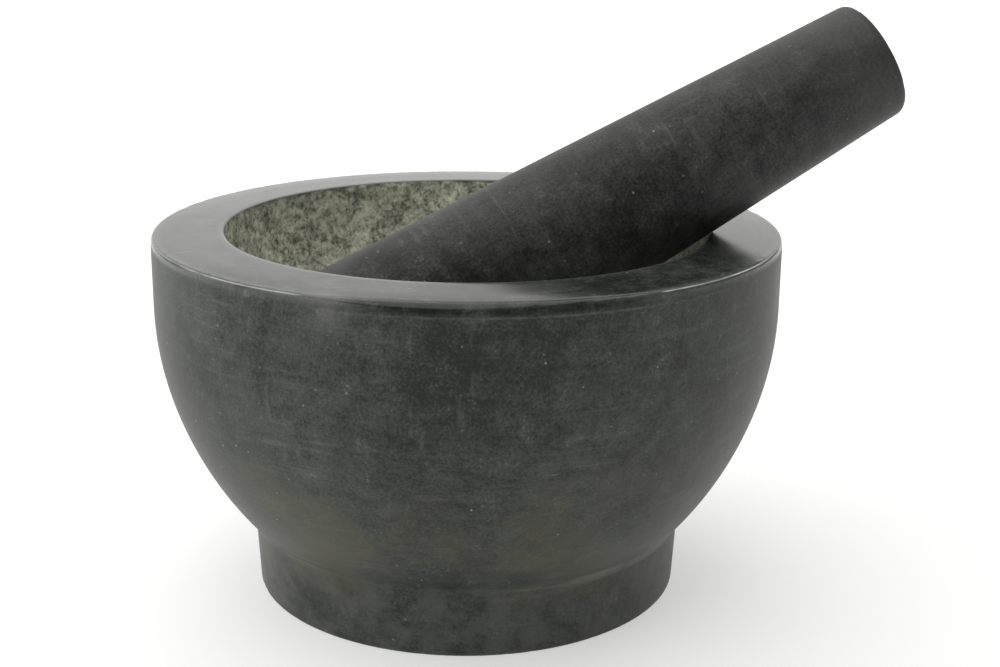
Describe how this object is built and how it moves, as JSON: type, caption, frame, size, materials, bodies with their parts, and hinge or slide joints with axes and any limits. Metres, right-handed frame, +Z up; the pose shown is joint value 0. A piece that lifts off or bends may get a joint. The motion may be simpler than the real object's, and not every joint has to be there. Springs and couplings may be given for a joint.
{
  "type": "mortar and pestle",
  "caption": "Smooth turned stone mortar with a wide flat rim, half-round bowl and low ring foot, and a thick tapered stone pestle leaning in it, for crushing and grinding.",
  "frame": {"origin": "centre of the foot's flat underside, on the mortar's axis", "axes": "+Z up along the mortar's axis, +X the way the pestle's handle points, -Y the front"},
  "size_m": [0.2123, 0.1812, 0.1697],
  "materials": {
    "mortar_stone": "satin honed outside, polished rim, pecked bowl",
    "pestle_stone": "satin honed"
  },
  "bodies": {
    "mortar": {"mortar": "mortar_stone"},
    "pestle": {"pestle": "pestle_stone"}
  },
  "joints": [
    {"name": "pestle_lift", "type": "slide", "parent": "mortar", "child": "pestle", "axis": [0, 0, 1], "range_m": [0, 0.1]}
  ]
}
